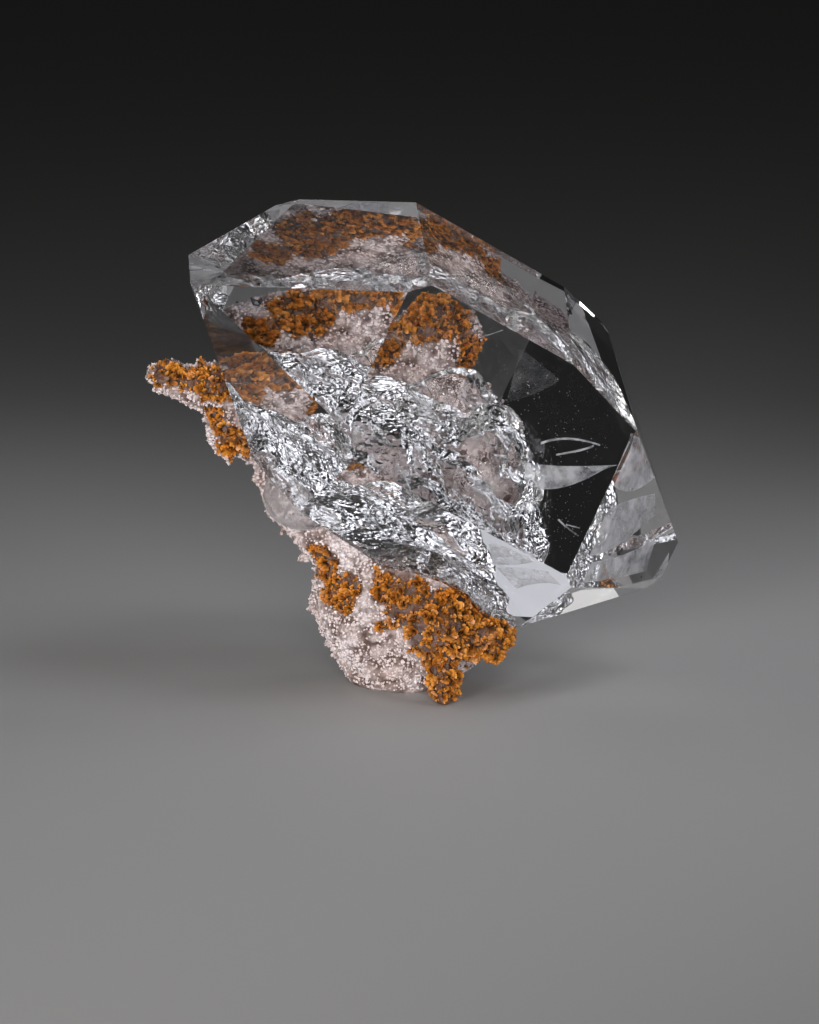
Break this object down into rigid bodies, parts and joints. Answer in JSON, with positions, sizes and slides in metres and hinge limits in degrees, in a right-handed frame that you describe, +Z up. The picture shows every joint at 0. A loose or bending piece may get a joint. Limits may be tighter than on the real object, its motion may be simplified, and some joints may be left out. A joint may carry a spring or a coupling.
{
  "type": "quartz crystal on druse matrix",
  "caption": "Clear doubly terminated quartz crystal seated on a plate of granular druse coated with bladed brown iron oxide; rests on a small flat foot.",
  "frame": {"origin": "middle of the bounding box in X and Y, on the surface that the flat foot rests on", "axes": "+Z up as it stands, -Y towards the viewer of the picture, +X to the viewer's right along the longest extent"},
  "size_m": [0.071, 0.0542, 0.0633],
  "materials": {
    "clear_quartz": "water-clear natural crystal faces, crumpled where it grew on the matrix",
    "coated_druse": "pinkish white granular druse with orange-brown bladed iron oxide"
  },
  "bodies": {
    "root": {"quartz_crystal": "clear_quartz", "matrix": "coated_druse"}
  },
  "joints": []
}
